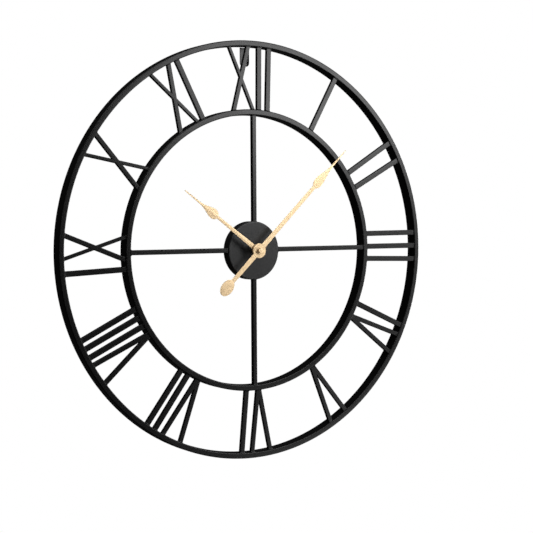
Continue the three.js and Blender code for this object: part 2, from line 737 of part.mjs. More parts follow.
add('hour_wheel', hourWheel(), brass);
add('minute_arbor', minuteArborWithPinion(), steel);
add('motion_wheel', motionWheel(), whitePlastic);
add('setting_knob', settingKnob(), blackPlastic);

add('centre_wheel', centreWheel(), whitePlastic);
add('third_wheel', thirdWheel(), whitePlastic);
add('seconds_wheel', secondsWheel(), whitePlastic);
add('intermediate_wheel', intermediateWheel(), whitePlastic);
add('rotor', rotor(), magnet);

add('stator', stator(), steel);
add('coil', coil(), copper);
add('circuit_board', circuitBoard(), boardGreen);
add('quartz_crystal', crystal(), steel);
add('battery', batteryCell(), batteryWrap);
add('contact_positive', contactStrip(contact.x), steel);
add('contact_negative', contactStrip(-contact.x), steel);

clock.position.set(-hanger.offset, 0, -nail.height);

const group = new THREE.Group();
group.add(clock);

export default group;
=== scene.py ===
import json
import math

import bmesh
import bpy
from mathutils import Matrix, Vector

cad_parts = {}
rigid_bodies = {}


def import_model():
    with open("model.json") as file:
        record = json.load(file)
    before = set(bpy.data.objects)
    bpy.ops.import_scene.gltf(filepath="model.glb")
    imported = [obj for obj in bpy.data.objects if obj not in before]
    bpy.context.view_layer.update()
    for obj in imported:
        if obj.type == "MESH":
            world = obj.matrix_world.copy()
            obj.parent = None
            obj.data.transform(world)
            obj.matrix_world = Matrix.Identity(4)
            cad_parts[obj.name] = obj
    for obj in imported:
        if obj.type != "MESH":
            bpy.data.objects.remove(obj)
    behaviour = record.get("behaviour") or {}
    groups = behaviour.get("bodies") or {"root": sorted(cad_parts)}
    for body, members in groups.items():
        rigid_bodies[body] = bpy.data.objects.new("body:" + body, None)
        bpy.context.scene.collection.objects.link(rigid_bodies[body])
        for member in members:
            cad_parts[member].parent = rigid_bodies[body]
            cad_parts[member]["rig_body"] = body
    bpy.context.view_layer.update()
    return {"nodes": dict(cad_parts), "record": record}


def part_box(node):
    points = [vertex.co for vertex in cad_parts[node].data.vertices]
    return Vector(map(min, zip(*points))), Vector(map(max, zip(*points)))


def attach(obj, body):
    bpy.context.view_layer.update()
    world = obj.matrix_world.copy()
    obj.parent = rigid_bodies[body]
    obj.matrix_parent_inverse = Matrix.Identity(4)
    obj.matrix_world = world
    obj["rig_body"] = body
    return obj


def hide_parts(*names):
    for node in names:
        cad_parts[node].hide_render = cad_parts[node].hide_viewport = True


# Looks of an open-frame wall clock: powder-coated hoops, spokes and welded numerals, satin gold hands,
# and a quartz movement in the drum that carries them.
#
# Lengths are in millimetres about the dial's centre: x to the right, z up, and depth in front of the
# wall. dial() turns them into the frame's metres. Sizes of the welded frame are read from the CAD
# nodes; the numerals and the hands repeat the driving dimensions of their CAD solids.

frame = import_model()

MM = 0.001
NODES = frame["nodes"]

# ---------------------------------------------------------------------------------------------
# Sizes
# ---------------------------------------------------------------------------------------------

_low, _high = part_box("outer_hoop")
CENTRE = Vector(((_low.x + _high.x) / 2, 0, (_low.z + _high.z) / 2))


def dial(x, z, depth):
    return Vector((CENTRE.x + x * MM, -depth * MM, CENTRE.z + z * MM))


def swung(across, along, turn):
    """A point beside and along a line that is turned clockwise from 12 o'clock, as x and z."""
    return (
        across * math.cos(turn) + along * math.sin(turn),
        along * math.cos(turn) - across * math.sin(turn),
    )


def radii(node):
    """The nearest and the farthest distance of a node's vertices from the dial's axis."""
    found = [math.hypot(v.co.x - CENTRE.x, v.co.z - CENTRE.z) / MM for v in NODES[node].data.vertices]
    return min(found), max(found)


def depths(node):
    low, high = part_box(node)
    return -high.y / MM, -low.y / MM


OUTER_INSIDE, OUTER_RADIUS = radii("outer_hoop")
INNER_INSIDE, INNER_RADIUS = radii("inner_hoop")
DRUM_BORE, DRUM_RADIUS = radii("drum")
HOOP_DEPTH = depths("outer_hoop")[1]
TUBE_CORNER = 2.0
WELD_LEG = 1.5
SINK = 0.3  # how far a welded end reaches into the hoop that it meets

SPOKE = {"width": 9.2, "depth": 8.5, "corner": 1.2, "front": HOOP_DEPTH}
SPOKE_OFFSET = {12: 3, 3: -1.5, 6: -2, 9: 1}  # clockwise from the hour's own line, as welded
NUMERAL = {"depth": 6.5, "corner": 1.2, "front": HOOP_DEPTH - 1.5}

# Each stroke: its kind, and its place along the outer and the inner hoop from the hour's line.
NUMERALS = {
    "xii": (12, [("x", -29.5, -18.5), ("i", 16, 15), ("i", 38, 34.5)]),
    "i": (1, [("i", -1.5, 0)]),
    "ii": (2, [("i", -21.5, -18.5), ("i", 18.5, 15)]),
    "iii": (3, [("i", -30, -29), ("i", -3, -3), ("i", 24.5, 21.5)]),
    "iv": (4, [("i", -38, -26), ("v", 3, 4)]),
    "v": (5, [("v", -2, -1)]),
    "vi": (6, [("v", -16, -10.5), ("i", 27.5, 16.5)]),
    "vii": (7, [("v", -18, -14), ("i", 22, 9), ("i", 41, 26.5)]),
    "viii": (8, [("v", -26, -18.5), ("i", 10, 1.5), ("i", 28, 19.5), ("i", 45, 37)]),
    "ix": (9, [("i", -34.5, -29), ("x", 13.5, 9)]),
    "x": (10, [("x", 1.5, 1.5)]),
    "xi": (11, [("x", -2.5, -2), ("i", 37.5, 31.5)]),
}
# Where a letter's strokes stand at the outer and the inner hoop, from the letter's middle, and
# each stroke's width.
LETTERS = {
    "i": [(0, 0, 10.4)],
    "v": [(-20.5, -1.5, 9), (20.5, 1.5, 9)],
    "x": [(-21.3, 20.6, 6.6), (21.3, -20.6, 8.8)],
}

HUB_RADIUS = 14
HANDS = {
    "hour_hand": {
        "bore": 2.8, "collar": 4.6, "clockwise": 306, "length": 195, "hub_half": 4.6, "neck_half": 3,
        "neck": 110, "spade": 9.8, "widest": 121, "needle": 156, "tail": 0,
    },
    "minute_hand": {
        "bore": 1.8, "collar": 4.0, "clockwise": 46, "length": 280, "hub_half": 4.9, "neck_half": 4,
        "neck": 176, "spade": 9.4, "widest": 189, "needle": 240, "tail_half": 4.3, "tail": 84,
        "paddle": 98.5, "paddle_length": 18, "paddle_half": 12.5,
    },
}
NEEDLE_ROOT, NEEDLE_TIP = 1.9, 0.9
BLADE_THICKNESS = 1.5

# ---------------------------------------------------------------------------------------------
# Mesh code
# ---------------------------------------------------------------------------------------------


def mesh_of(vertices, faces):
    mesh = bpy.data.meshes.new("mesh")
    mesh.from_pydata([tuple(v) for v in vertices], [], faces)
    tidy_mesh(mesh)
    return mesh


def tidy_mesh(mesh):
    """Merges doubled vertices and turns the normals outwards."""
    work = bmesh.new()
    work.from_mesh(mesh)
    bmesh.ops.remove_doubles(work, verts=work.verts, dist=1e-6)
    bmesh.ops.recalc_face_normals(work, faces=work.faces)
    work.to_mesh(mesh)
    work.free()


def even_shading(mesh):
    """The mesh with normals weighted by area, so that flat faces beside soft edges shade flat."""
    made = bpy.data.objects.new("shaded", mesh)
    bpy.context.scene.collection.objects.link(made)
    made.modifiers.new("normals", "WEIGHTED_NORMAL").keep_sharp = True
    result = bpy.data.meshes.new_from_object(made.evaluated_get(bpy.context.evaluated_depsgraph_get()))
    bpy.data.objects.remove(made)
    return result


def piece(name, mesh, material, body, nodes=(), sharp=32):
    """A finished piece of the clock that rides on a CAD body and stands for its CAD nodes."""
    mesh.shade_smooth()
    mesh.set_sharp_from_angle(angle=math.radians(sharp))
    mesh = even_shading(mesh)
    mesh.materials.clear()
    mesh.materials.append(material)
    made = bpy.data.objects.new(name, mesh)
    mesh.name = name
    bpy.context.scene.collection.objects.link(made)
    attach(made, body)
    if nodes:
        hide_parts(*nodes)
    return made


def joined(*meshes):
    """The boolean union of closed meshes."""
    objects = []
    for mesh in meshes:
        made = bpy.data.objects.new("part", mesh)
        bpy.context.scene.collection.objects.link(made)
        objects.append(made)
    first, *others = objects
    for other in others:
        modifier = first.modifiers.new("join", "BOOLEAN")
        modifier.operation = "UNION"
        modifier.solver = "EXACT"
        modifier.object = other
    result = bpy.data.meshes.new_from_object(first.evaluated_get(bpy.context.evaluated_depsgraph_get()))
    for made in objects:
        bpy.data.objects.remove(made)
    tidy_mesh(result)
    return result


def rounded_rectangle(width, height, radius, steps=4):
    """Points of a rounded rectangle about its centre, anticlockwise."""
    points = []
    for quarter in range(4):
        sx, sy = ((1, 1), (-1, 1), (-1, -1), (1, -1))[quarter]
        cx, cy = sx * (width / 2 - radius), sy * (height / 2 - radius)
        for i in range(steps + 1):
            turn = (quarter + i / steps) * math.pi / 2
            points.append((cx + radius * math.cos(turn), cy + radius * math.sin(turn)))
    return points


def loft(rings, closed=False):
    """Skins rings of equally many points. Open lofts get a flat cap at each end."""
    count = len(rings[0])
    vertices = [p for ring in rings for p in ring]
    faces = []
    for r in range(len(rings) if closed else len(rings) - 1):
        a, b = r * count, ((r + 1) % len(rings)) * count
        for i in range(count):
            j = (i + 1) % count
            faces.append((a + i, a + j, b + j, b + i))
    if not closed:
        faces.append(tuple(reversed(range(count))))
        faces.append(tuple(range(len(vertices) - count, len(vertices))))
    return mesh_of(vertices, faces)


def turned(profile, segments):
    """A ring turned about the dial's axis from a closed profile of (radius, depth) points."""
    rings = []
    for i in range(segments):
        turn = 2 * math.pi * i / segments
        rings.append([dial(r * math.sin(turn), r * math.cos(turn), depth) for r, depth in profile])
    return loft(rings, closed=True)


def turned_solid(profile, segments):
    """A solid turned about the dial's axis: the profile starts and ends on the axis."""
    vertices, faces = [], []
    inner = profile[1:-1]
    for i in range(segments):
        turn = 2 * math.pi * i / segments
        vertices += [dial(r * math.sin(turn), r * math.cos(turn), depth) for r, depth in inner]
    count = len(inner)
    back, front = len(vertices), len(vertices) + 1
    vertices += [dial(0, 0, profile[0][1]), dial(0, 0, profile[-1][1])]
    for i in range(segments):
        a, b = i * count, ((i + 1) % segments) * count
        faces += [(a + k, a + k + 1, b + k + 1, b + k) for k in range(count - 1)]
        faces += [(back, a, b), (front, b + count - 1, a + count - 1)]
    return mesh_of(vertices, faces)


def arc(cx, cy, radius, start, end, steps):
    """Points on an arc, its angles in degrees."""
    turns = [math.radians(start + (end - start) * i / steps) for i in range(steps + 1)]
    return [(cx + radius * math.cos(t), cy + radius * math.sin(t)) for t in turns]


# ---------------------------------------------------------------------------------------------
# Materials
# ---------------------------------------------------------------------------------------------


class Surface:
    """A Principled material and short calls for the nodes that feed it."""

    def __init__(self, name, color, roughness, metallic=0.0, **sockets):
        self.material = bpy.data.materials.new(name)
        self.material.use_nodes = True
        self.tree = self.material.node_tree
        self.shader = self.tree.nodes["Principled BSDF"]
        self.shader.inputs["Base Color"].default_value = (*color, 1)
        self.shader.inputs["Roughness"].default_value = roughness
        self.shader.inputs["Metallic"].default_value = metallic
        for socket, value in sockets.items():
            self.shader.inputs[socket.replace("_", " ")].default_value = value
        self.height = None

    def node(self, kind, **values):
        made = self.tree.nodes.new(kind)
        for key, value in values.items():
            setattr(made, key, value)
        return made

    def link(self, source, target):
        self.tree.links.new(source, target)

    def coordinates(self, stretch=(1, 1, 1), turn=(0, 0, 0), place=(0, 0, 0)):
        """Object coordinates in metres, moved to a place, turned, then stretched."""
        source = self.node("ShaderNodeTexCoord").outputs["Object"]
        for vector_type, values in (("POINT", {"Location": [-p for p in place], "Rotation": turn}),
                                    ("POINT", {"Scale": stretch})):
            mapping = self.node("ShaderNodeMapping", vector_type=vector_type)
            for socket, value in values.items():
                mapping.inputs[socket].default_value = value
            self.link(source, mapping.inputs["Vector"])
            source = mapping.outputs["Vector"]
        return source

    def noise(self, scale, detail=2.0, roughness=0.5, coordinates=None):
        made = self.node("ShaderNodeTexNoise")
        made.inputs["Scale"].default_value = scale
        made.inputs["Detail"].default_value = detail
        made.inputs["Roughness"].default_value = roughness
        self.link(coordinates or self.coordinates(), made.inputs["Vector"])
        return made.outputs["Fac"]

    def spread(self, factor, low, high, start=0.3, end=0.7):
        """A number from low to high, as the factor goes from start to end."""
        made = self.node("ShaderNodeMapRange")
        made.inputs["From Min"].default_value = start
        made.inputs["From Max"].default_value = end
        made.inputs["To Min"].default_value = low
        made.inputs["To Max"].default_value = high
        self.link(factor, made.inputs["Value"])
        return made.outputs["Result"]

    def ramp(self, factor, stops, interpolation="LINEAR"):
        made = self.node("ShaderNodeValToRGB")
        made.color_ramp.interpolation = interpolation
        elements = made.color_ramp.elements
        while len(elements) < len(stops):
            elements.new(0.5)
        for element, (position, color) in zip(elements, stops):
            element.position = position
            element.color = (*color, 1)
        self.link(factor, made.inputs["Fac"])
        return made.outputs["Color"]

    def color(self, source):
        self.link(source, self.shader.inputs["Base Color"])

    def roughness(self, source):
        self.link(source, self.shader.inputs["Roughness"])

    def bump(self, source, depth, strength=1.0):
        """Adds relief of a depth in metres, over any relief added before."""
        made = self.node("ShaderNodeBump")
        made.inputs["Strength"].default_value = strength
        made.inputs["Distance"].default_value = depth
        self.link(source, made.inputs["Height"])
        if self.height:
            self.link(self.height, made.inputs["Normal"])
        self.height = made.outputs["Normal"]
        self.link(self.height, self.shader.inputs["Normal"])


def powder_coat(name, dark, light):
    """Black satin powder coat: an orange-peel surface with faintly uneven gloss."""
    s = Surface(name, (dark, dark, dark), 0.3, Specular_IOR_Level=0.26)
    s.color(s.ramp(s.noise(420, 3, 0.6), [(0.35, (dark, dark, 1.05 * dark)), (0.65, (light, light, light))]))
    s.roughness(s.spread(s.noise(9, 3), 0.26, 0.32))
    s.bump(s.noise(750, 2, 0.5), 0.00002, 0.35)
    s.bump(s.noise(2600, 1, 0.5), 0.000006, 0.3)
    return s.material


def gold_lacquer(name, clockwise):
    """Champagne gold on aluminium, brushed along the hand."""
    s = Surface(name, (0.84, 0.64, 0.39), 0.5, 0.4)
    along = s.coordinates(stretch=(1, 1, 0.03), turn=(0, -math.radians(clockwise), 0), place=CENTRE)
    grain = s.noise(1200, 1, 0.5, along)
    broad = s.noise(25, 3, 0.5)
    s.color(s.ramp(broad, [(0.3, (0.83, 0.61, 0.35)), (0.7, (0.87, 0.65, 0.39))]))
    s.roughness(s.spread(grain, 0.47, 0.53))
    s.bump(grain, 0.000002, 0.05)
    return s.material


def moulded_plastic(name, color, roughness):
    """Injection-moulded plastic with a fine spark-eroded texture."""
    s = Surface(name, color, roughness)
    darker = tuple(0.75 * c for c in color)
    s.color(s.ramp(s.noise(60, 4), [(0.35, darker), (0.65, color)]))
    s.roughness(s.spread(s.noise(900, 2), roughness - 0.06, roughness + 0.08))
    s.bump(s.noise(4200, 2, 0.7), 0.00002, 0.7)
    return s.material


def wheel_plastic():
    """Milky acetal with faint flow marks."""
    s = Surface("milky_acetal", (0.78, 0.76, 0.68), 0.4, Subsurface_Weight=0.15, Subsurface_Scale=0.001)
    s.color(s.ramp(s.noise(220, 4), [(0.3, (0.70, 0.68, 0.60)), (0.7, (0.82, 0.80, 0.73))]))
    s.roughness(s.spread(s.noise(1400, 2), 0.34, 0.5))
    s.bump(s.noise(3000, 1), 0.000008, 0.5)
    return s.material


def bare_metal(name, color, roughness, grain=(1, 1, 0.05)):
    """Bare metal with grain along the direction that is stretched least."""
    s = Surface(name, color, roughness, 1.0)
    scratches = s.noise(2400, 3, 0.6, s.coordinates(stretch=grain))
    duller = tuple(0.82 * c for c in color)
    s.color(s.ramp(s.noise(160, 4), [(0.35, duller), (0.6, color)]))
    s.roughness(s.spread(scratches, roughness - 0.08, roughness + 0.14))
    s.bump(scratches, 0.000012, 0.6)
    return s.material


def rubber():
    s = Surface("black_rubber", (0.02, 0.02, 0.02), 0.85)
    s.color(s.ramp(s.noise(700, 4), [(0.4, (0.016, 0.016, 0.016)), (0.62, (0.035, 0.034, 0.033))]))
    s.roughness(s.spread(s.noise(500, 2), 0.78, 0.92))
    s.bump(s.noise(1800, 3), 0.00003, 0.6)
    return s.material


def coil_winding():
    """Enamelled copper wire: turns lie side by side along x, and the colour darkens in the grooves between
    them as painted shade.
    """
    s = Surface("enamelled_copper", (0.60, 0.24, 0.10), 0.32, 0.9, Coat_Weight=0.6, Coat_Roughness=0.15)
    turns = s.node("ShaderNodeTexWave", wave_type="BANDS", bands_direction="X", wave_profile="SIN")
    turns.inputs["Scale"].default_value = 900
    turns.inputs["Distortion"].default_value = 0.6
    s.link(s.coordinates(), turns.inputs["Vector"])
    # The colour is darker where the bands dip between turns: painted shade in the grooves.
    s.color(s.ramp(turns.outputs["Fac"], [(0.1, (0.30, 0.10, 0.04)), (0.6, (0.66, 0.27, 0.11))]))
    s.roughness(s.spread(s.noise(900), 0.26, 0.4))
    s.bump(turns.outputs["Fac"], 0.00006, 0.8)
    return s.material


def board_lacquer():
    """Green solder mask with paler copper tracks under it."""
    s = Surface("solder_mask", (0.03, 0.17, 0.07), 0.4, Coat_Weight=0.3, Coat_Roughness=0.2)
    tracks = s.node("ShaderNodeTexBrick", offset=0.35, squash=1.4)
    tracks.inputs["Scale"].default_value = 260
    tracks.inputs["Mortar Size"].default_value = 0.035
    tracks.inputs["Color1"].default_value = (0.025, 0.16, 0.06, 1)
    tracks.inputs["Color2"].default_value = (0.03, 0.19, 0.075, 1)
    tracks.inputs["Mortar"].default_value = (0.10, 0.36, 0.16, 1)
    s.link(s.coordinates(turn=(math.pi / 2, 0, 0)), tracks.inputs["Vector"])
    s.color(tracks.outputs["Color"])
    s.roughness(s.spread(s.noise(900), 0.32, 0.5))
    s.bump(tracks.outputs["Fac"], 0.00003, 0.8)
    return s.material


def battery_wrap():
    """A plain printed film with a gold end band, and bare steel at both ends of the cell."""
    low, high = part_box("battery")
    s = Surface("battery_film", (0.05, 0.06, 0.08), 0.35, 0.3)
    split = s.node("ShaderNodeSeparateXYZ")
    s.link(s.node("ShaderNodeTexCoord").outputs["Object"], split.inputs["Vector"])
    along = s.spread(split.outputs["X"], 0, 1, low.x, high.x)
    steel, film, gold = (0.55, 0.55, 0.54), (0.045, 0.055, 0.075), (0.62, 0.44, 0.16)
    s.color(s.ramp(along, [(0.0, steel), (0.022, film), (0.70, gold), (0.955, steel)], "CONSTANT"))
    bare = [(0.0, (1, 1, 1)), (0.022, (0.25, 0.25, 0.25)), (0.70, (0.8, 0.8, 0.8)), (0.955, (1, 1, 1))]
    s.link(s.ramp(along, bare, "CONSTANT"), s.shader.inputs["Metallic"])
    s.roughness(s.spread(s.noise(500, 3), 0.26, 0.42))
    s.bump(s.noise(900, 2), 0.00001, 0.5)
    return s.material


def ferrite():
    s = Surface("ferrite_magnet", (0.07, 0.065, 0.06), 0.55, 0.4)
    s.color(s.ramp(s.noise(1500, 4), [(0.4, (0.05, 0.048, 0.045)), (0.65, (0.12, 0.11, 0.10))]))
    s.roughness(s.spread(s.noise(900), 0.45, 0.65))
    s.bump(s.noise(2500, 3), 0.00002, 0.6)
    return s.material


def floor_paint():
    """Pale matt paint that glows a little, so that it stays pale beside the white room."""
    s = Surface("pale_floor", (0.86, 0.86, 0.86), 0.7, Emission_Strength=0.6)
    tone = s.ramp(s.noise(3, 4), [(0.3, (0.82, 0.82, 0.81)), (0.7, (0.88, 0.88, 0.88))])
    s.color(tone)
    s.link(tone, s.shader.inputs["Emission Color"])
    return s.material


BLACK = powder_coat("black_powder_coat", 0.005, 0.007)
DRUM_BLACK = powder_coat("black_powder_coat_drum", 0.03, 0.038)
CASE = moulded_plastic("black_abs", (0.022, 0.022, 0.024), 0.52)
ACETAL = wheel_plastic()
BRASS = bare_metal("turned_brass", (0.72, 0.50, 0.20), 0.28, grain=(1, 0.05, 1))
STEEL = bare_metal("sheet_steel", (0.58, 0.58, 0.57), 0.32)
MATERIAL_OF_SLOT = {
    "black_frame": BLACK, "case_plastic": CASE, "wheel_plastic": ACETAL, "brass": BRASS, "steel": STEEL,
    "rubber": rubber(), "copper": coil_winding(), "board": board_lacquer(), "battery": battery_wrap(),
    "magnet": ferrite(),
}

# ---------------------------------------------------------------------------------------------
# The welded frame
# ---------------------------------------------------------------------------------------------

ROOT = NODES["outer_hoop"]["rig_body"]


def hoop(node, inside, outside):
    """A rolled tube of rounded rectangular section."""
    centre, width = (inside + outside) / 2, outside - inside
    section = rounded_rectangle(width, HOOP_DEPTH, TUBE_CORNER, 5)
    profile = [(centre + u, HOOP_DEPTH / 2 + v) for u, v in section]
    return piece(node + "_tube", turned(profile, segments=288), BLACK, ROOT, [node])


def weld_offset(distance):
    """How far a weld's concave fillet stands off a bar at a distance from the hoop."""
    if distance >= WELD_LEG:
        return 0.0
    return WELD_LEG - math.sqrt(WELD_LEG ** 2 - (WELD_LEG - distance) ** 2)


def bar_mesh(spec, width, hour, outer_place, inner_place, from_radius, to_radius):
    """A bar between two cylinders about the dial's axis, with a weld fillet round each end.

    The places are offsets from the hour's line, clockwise, at the inner face of the outer hoop and
    at the outer face of the inner hoop.
    """
    foot = Vector((inner_place, INNER_RADIUS))
    along = (Vector((outer_place, OUTER_INSIDE)) - foot).normalized()
    across = Vector((along.y, -along.x))
    turn = math.radians(hour * 30)

    def reach(u, radius):
        start = foot + across * u
        b = start.dot(along)
        return -b + math.sqrt(b * b - start.length_squared + radius * radius)

    def ring(radius, distance, inwards):
        grow = weld_offset(max(0.0, distance - SINK))
        section = rounded_rectangle(
            width + 2 * grow, spec["depth"] + 2 * grow, spec["corner"] + grow,
        )
        middle = spec["front"] - spec["depth"] / 2
        points = []
        for u, v in section:
            travel = reach(u, radius) + (-distance if inwards else distance)
            p = foot + across * u + along * travel
            points.append(dial(*swung(p.x, p.y, turn), middle + v))
        return points

    steps = [0, SINK, SINK + 0.15, SINK + 0.4, SINK + 0.8, SINK + WELD_LEG]
    rings = [ring(from_radius - SINK, d, False) for d in steps]
    rings += [ring(to_radius + SINK, d, True) for d in reversed(steps)]
    return loft(rings)


def spokes():
    """Four bars from the drum to the inner hoop."""
    for hour in (12, 3, 6, 9):
        place = SPOKE_OFFSET[hour]
        mesh = bar_mesh(SPOKE, SPOKE["width"], hour, place, place, DRUM_RADIUS - 0.4, INNER_INSIDE)
        piece(f"spoke_{hour}_bar", mesh, BLACK, ROOT, [f"spoke_{hour}"])


def numerals():
    """Single bars, pairs that meet as a V and crossed pairs, each stroke group a piece of its own."""
    for name, (hour, strokes) in NUMERALS.items():
        for i, (kind, outer, inner) in enumerate(strokes, 1):
            node = f"numeral_{name}_{i}_{kind}" if len(strokes) > 1 else f"numeral_{name}"
            bars = [
                bar_mesh(NUMERAL, width, hour, outer + above, inner + below, INNER_RADIUS, OUTER_INSIDE)
                for above, below, width in LETTERS[kind]
            ]
            mesh = joined(*bars) if len(bars) > 1 else bars[0]
            piece(node + "_bar", mesh, BLACK, ROOT, [node])


def drum_cup():
    """A pressed cup: a flat face, a rounded rim and a rolled back edge."""
    back, front = depths("drum")
    wall, rim, lip, rolled_in, mid_face = 1.2, 2.0, 0.5, 0.2, 20
    radius = DRUM_RADIUS
    profile = [(DRUM_BORE, front - wall), (DRUM_BORE, front), (mid_face, front), (radius - rim, front)]
    profile += arc(radius - rim, front - rim, rim, 90, 0, 8)[1:]
    profile += [(radius, back + lip), *arc(radius - lip, back + lip, lip, 0, -90, 4)[1:]]
    profile += [(radius - wall, back + rolled_in), (radius - wall, front - rim)]
    profile += arc(radius - rim, front - rim, rim - wall, 0, 90, 4)[1:]
    return piece("drum_cup", turned(profile, segments=192), DRUM_BLACK, ROOT, ["drum"])


# ---------------------------------------------------------------------------------------------
# The hands
# ---------------------------------------------------------------------------------------------


def bezier(points, steps):
    result = []
    for i in range(steps + 1):
        t = i / steps
        weights = ((1 - t) ** 3, 3 * t * (1 - t) ** 2, 3 * t * t * (1 - t), t ** 3)
        result.append(tuple(sum(w * p[k] for w, p in zip(weights, points)) for k in (0, 1)))
    return result


def blade_outline(spec):
    """(half width, place along the hand) from the tail's end, or the hub, to the tip."""
    points = []
    if spec["tail"]:
        middle, long, half = spec["paddle"], spec["paddle_length"], spec["paddle_half"]
        meets = math.acos(spec["tail_half"] / half)
        steps, end_half, run_out = 14, 0.05, 1.5
        for i in range(steps + 1):
            turn = -math.pi / 2 + (math.pi / 2 + meets) * i / steps
            points.append((max(end_half, half * math.cos(turn)), -middle + long * math.sin(turn)))
        points.append((spec["tail_half"], -middle + long * math.sin(meets) + run_out))
    inside_hub = 8
    points += [(spec["hub_half"], -inside_hub), (spec["hub_half"], inside_hub)]
    neck, widest, needle, spade = spec["neck"], spec["widest"], spec["needle"], spec["spade"]
    neck_half, taper = spec["neck_half"], needle - widest
    flare, cheek = 3, 6
    points += bezier([
        (neck_half, neck), (neck_half + flare, neck), (spade, widest - cheek), (spade, widest),
    ], 14)
    points += bezier([
        (spade, widest), (spade, widest + 0.28 * taper),
        (NEEDLE_ROOT, needle - 0.42 * taper), (NEEDLE_ROOT, needle),
    ], 16)[1:]
    point_length, point_half, steps = 1, 0.1, 8
    run, narrowing = spec["length"] - point_length - needle, NEEDLE_TIP - NEEDLE_ROOT
    for i in range(1, steps + 1):
        points.append((NEEDLE_ROOT + narrowing * i / steps, needle + run * i / steps))
    points.append((point_half, spec["length"]))
    return points


def blade(spec, back, front):
    """The hand's blade: flat behind, two slightly sloping facets meeting in a soft ridge in front."""
    edge, slope = 0.5, math.tan(math.radians(3.5))
    chamfer, softness = 0.1, 0.006
    turn = math.radians(spec["clockwise"])
    across = (-1, -0.75, -0.5, -0.25, -0.1, 0, 0.1, 0.25, 0.5, 0.75, 1)
    rings = []
    for half, along in blade_outline(spec):
        ridge = min(half * slope, front - back - edge)
        section = [(half * u, back + edge + ridge * (1 - math.sqrt(u * u + softness))) for u in across]
        cut = min(chamfer, half / 2)
        section += [(half, back + chamfer), (half - cut, back)]
        section += [(cut - half, back), (-half, back + chamfer)]
        rings.append([dial(*swung(u, along, turn), depth) for u, depth in section])
    return loft(rings)


def hub(spec, collar_back, back, front):
    """The round hub: a raised middle, a shallow step and a softened rim, and a collar behind."""
    bore, collar = spec["bore"], spec["collar"]
    step, slant, boss, rim, back_edge = 0.35, 0.4, 9.0, 0.5, 0.3
    profile = [(bore, collar_back), (collar, collar_back), (collar, back), (HUB_RADIUS - back_edge, back)]
    profile += arc(HUB_RADIUS - rim, front - step - rim, rim, 0, 90, 4)
    profile += [(boss + slant, front - step), (boss, front), (bore, front)]
    return turned(profile, segments=128)


def hands():
    """Two hands, each a hub joined to its blade."""
    inset = 0.05  # keeps the blade's flats off the hub's
    for node, spec in HANDS.items():
        collar_back, front = depths(node)
        back = front - BLADE_THICKNESS
        material = gold_lacquer(f"{node}_gold", spec["clockwise"])
        mesh = joined(hub(spec, collar_back, back, front), blade(spec, back + inset, front - inset))
        piece(node + "_blade", mesh, material, NODES[node]["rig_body"], [node], sharp=28)


def cap_nut():
    """A round nut with a flat front and a broad rounded shoulder."""
    back, front = depths("cap_nut")
    radius = radii("cap_nut")[1]
    flat, shoulder, chamfer, steps = 0.62 * radius, 0.9, 0.3, 6
    profile = [(0, back), (radius - chamfer, back), (radius, back + chamfer), (radius, front - shoulder)]
    for i in range(1, steps + 1):
        turn = math.radians(90 * i / steps)
        profile.append((
            flat + (radius - flat) * math.cos(turn), front - shoulder * (1 - math.sin(turn)),
        ))
    profile += [(0.2 * radius, front), (0, front)]
    material = gold_lacquer("cap_nut_gold", 0)
    return piece("cap_nut_dome", turned_solid(profile, segments=64), material,
                 NODES["cap_nut"]["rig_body"], ["cap_nut"])


# ---------------------------------------------------------------------------------------------
# Pieces that keep their CAD shape and gain softened edges
# ---------------------------------------------------------------------------------------------


def softened(node, radius, segments=2, angle=28):
    """The CAD node's shape with its edges rounded, as a piece of its own."""
    work = bmesh.new()
    work.from_mesh(NODES[node].data)
    bmesh.ops.remove_doubles(work, verts=work.verts, dist=1e-6)
    bmesh.ops.dissolve_limit(
        work, angle_limit=math.radians(0.5), verts=work.verts, edges=work.edges,
    )
    edges = [e for e in work.edges if len(e.link_faces) == 2
             and e.calc_face_angle(0) > math.radians(angle)]
    bmesh.ops.bevel(
        work, geom=edges, offset=radius * MM, offset_type="OFFSET", segments=segments, profile=0.5,
        affect="EDGES", clamp_overlap=True,
    )
    bmesh.ops.recalc_face_normals(work, faces=work.faces)
    mesh = bpy.data.meshes.new(node)
    work.to_mesh(mesh)
    work.free()
    return mesh


def raised(outline, foot):
    """Relief with slightly drafted sides on a face that looks at the wall."""
    root, height, draft = 0.2, 0.25, 0.04
    middle = Vector((sum(p[0] for p in outline), sum(p[1] for p in outline))) / len(outline)
    rings = []
    for share, depth in ((0, foot + root), (0, foot), (draft, foot - height)):
        rings.append([dial(*Vector(p).lerp(middle, share), depth) for p in outline])
    return loft(rings)


def raised_bar(x, z, width, height):
    return [(x + u, z + v) for u, v in rounded_rectangle(width, height, 0.3, 2)]


def plus_sign(x, z, reach, half):
    arms = [
        (-reach, -half), (-half, -half), (-half, -reach), (half, -reach), (half, -half), (reach, -half),
        (reach, half), (half, half), (half, reach), (-half, reach), (-half, half), (-reach, half),
    ]
    return [(x + u, z + v) for u, v in arms]


def turning_arrow(x, z, radius, start, end):
    """An arc about a point with an arrow head at each end, in degrees anticlockwise from the right."""
    half, head, reach = 0.4, 1.1, 14

    def at(distance, degrees):
        turn = math.radians(degrees)
        return x + distance * math.cos(turn), z + distance * math.sin(turn)

    outline = arc(x, z, radius + half, start, end, 12)
    outline += [at(radius + head, end), at(radius, end + reach), at(radius - head, end)]
    outline += arc(x, z, radius - half, end, start, 12)
    outline += [at(radius - head, start), at(radius, start - reach), at(radius + head, start)]
    return outline


